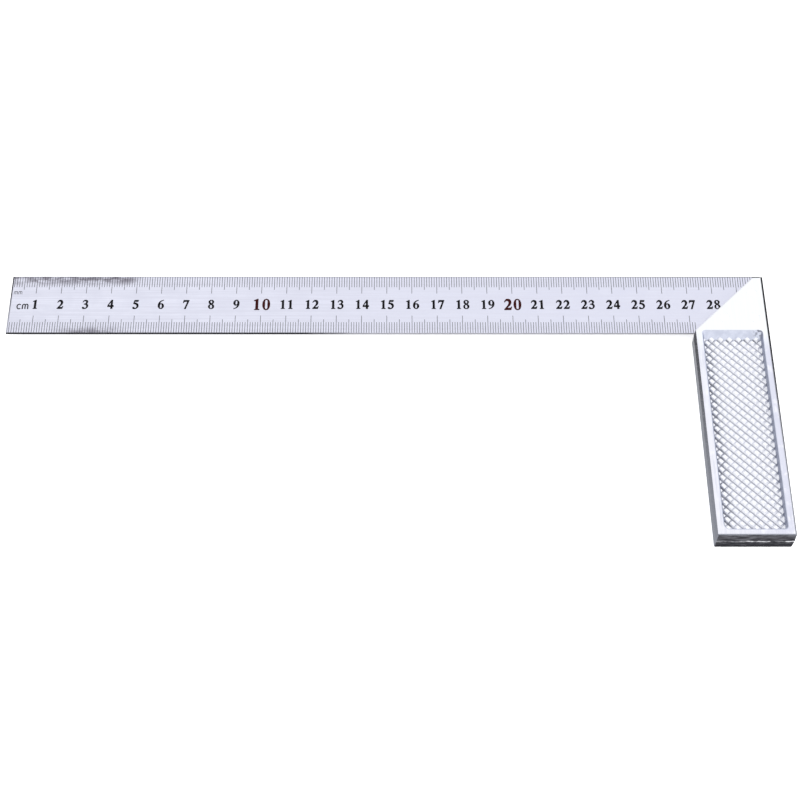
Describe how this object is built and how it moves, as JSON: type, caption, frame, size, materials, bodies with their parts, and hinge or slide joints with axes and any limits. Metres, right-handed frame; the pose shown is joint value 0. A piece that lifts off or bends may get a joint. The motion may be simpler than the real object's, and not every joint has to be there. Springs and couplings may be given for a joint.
{
  "type": "square ruler",
  "caption": "Try square for leatherwork: flat steel blade with a metric scale, riveted into a cast metal stock with a mitred head and sunk knurled grip panels.",
  "frame": {"origin": "middle of the bounding box in X and Y, on the surface it lies on", "axes": "+X along the blade from its free tip to the stock; the stock runs to -Y; +Z out of the front face, up when the square lies flat"},
  "size_m": [0.3, 0.118, 0.01],
  "materials": {
    "blade_steel": "satin",
    "cast_alloy": "bright cast, edges polished",
    "rivet_metal": "ground flush",
    "scale_ink": "matt",
    "scale_ink_red": "matt"
  },
  "bodies": {
    "root": {"blade": "blade_steel", "stock": "cast_alloy", "rivet_corner": "rivet_metal", "rivet_inner": "rivet_metal", "rivet_outer": "rivet_metal"}
  },
  "joints": []
}
